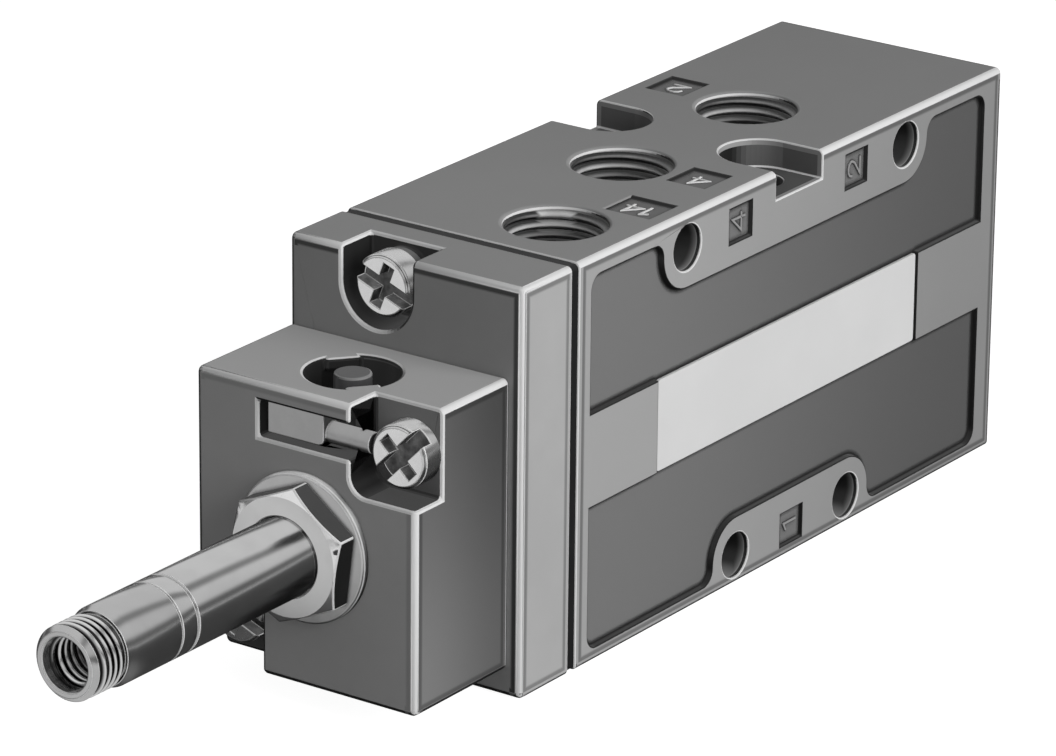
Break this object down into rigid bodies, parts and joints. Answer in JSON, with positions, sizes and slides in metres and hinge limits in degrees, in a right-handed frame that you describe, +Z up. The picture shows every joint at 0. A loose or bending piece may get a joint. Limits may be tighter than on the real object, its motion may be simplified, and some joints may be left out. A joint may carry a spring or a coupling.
{
  "type": "pneumatic solenoid valve",
  "caption": "Block-shaped spool valve with threaded air ports above and below, a pilot block with an armature tube, a push-button override and a spring return.",
  "frame": {"origin": "centre of the mouth of supply port 1, in the underside of the body", "axes": "+X along the body from the armature tube to the closed end, +Z up from the underside to the outlet ports, -Y towards the side with the plate"},
  "size_m": [0.1285, 0.026, 0.0395],
  "materials": {
    "body_metal": "satin grey lacquer on die-cast aluminium",
    "cap_metal": "satin grey lacquer on die-cast aluminium",
    "block_plastic": "fine-grained grey moulded plastic",
    "plate": "pale satin plate, bare",
    "gasket": "matt black",
    "rubber": "black, lightly greased",
    "screw_steel": "bright zinc-plated",
    "tube_steel": "turned stainless steel",
    "core_steel": "turned stainless steel",
    "nut_steel": "bright nickel-plated",
    "washer_steel": "bright zinc-plated",
    "spool_metal": "ground aluminium",
    "piston_plastic": "black moulded plastic",
    "cage_plastic": "natural moulded plastic",
    "plug_metal": "turned aluminium",
    "ring_steel": "blackened spring steel",
    "spring_steel": "bright spring wire",
    "brass": "turned brass",
    "button_plastic": "dark moulded plastic",
    "pin_steel": "plain steel"
  },
  "bodies": {
    "housing": {"valve_body": "body_metal", "name_plate": "plate", "front_gasket": "gasket", "end_cap": "cap_metal", "cap_screws": "screw_steel", "pilot_block": "block_plastic", "pilot_gasket": "gasket", "pilot_screws": "screw_steel", "seal_retainer": "washer_steel", "return_spring": "spring_steel", "end_plug": "plug_metal", "end_plug_seal": "rubber", "retaining_ring": "ring_steel", "armature_tube": "tube_steel", "pole_core": "core_steel", "tube_nut": "nut_steel", "tube_washer": "washer_steel", "tube_seal": "rubber", "armature_spring": "spring_steel", "valve_seat": "brass", "override_spring": "spring_steel", "override_retaining_pin": "pin_steel", "spool_seal_1": "rubber", "spool_seal_2": "rubber", "spool_seal_3": "rubber", "spool_seal_4": "rubber", "spool_seal_5": "rubber", "spool_seal_6": "rubber", "spacer_cage_1": "cage_plastic", "spacer_cage_2": "cage_plastic", "spacer_cage_3": "cage_plastic", "spacer_cage_4": "cage_plastic", "spacer_cage_5": "cage_plastic"},
    "spool_train": {"spool": "spool_metal", "pilot_piston": "piston_plastic", "piston_seal": "rubber"},
    "armature_unit": {"armature": "core_steel", "seat_pad": "rubber", "exhaust_pad": "rubber"},
    "override_unit": {"override_button": "button_plastic", "override_seal": "rubber"}
  },
  "joints": [
    {"name": "spool_shift", "type": "slide", "parent": "housing", "child": "spool_train", "axis": [1, 0, 0], "range_m": [0, 0.004], "stiffness_N_per_m": 900, "springref_m": -0.003, "deforming": ["return_spring"]},
    {"name": "armature_lift", "type": "slide", "parent": "housing", "child": "armature_unit", "axis": [-1, 0, 0], "range_m": [0, 0.0008], "stiffness_N_per_m": 600, "springref_m": -0.002, "deforming": ["armature_spring"]},
    {"name": "override_push", "type": "slide", "parent": "housing", "child": "override_unit", "axis": [0, 0, -1], "range_m": [0, 0.0012], "stiffness_N_per_m": 500, "springref_m": -0.0015, "deforming": ["override_spring"]}
  ]
}
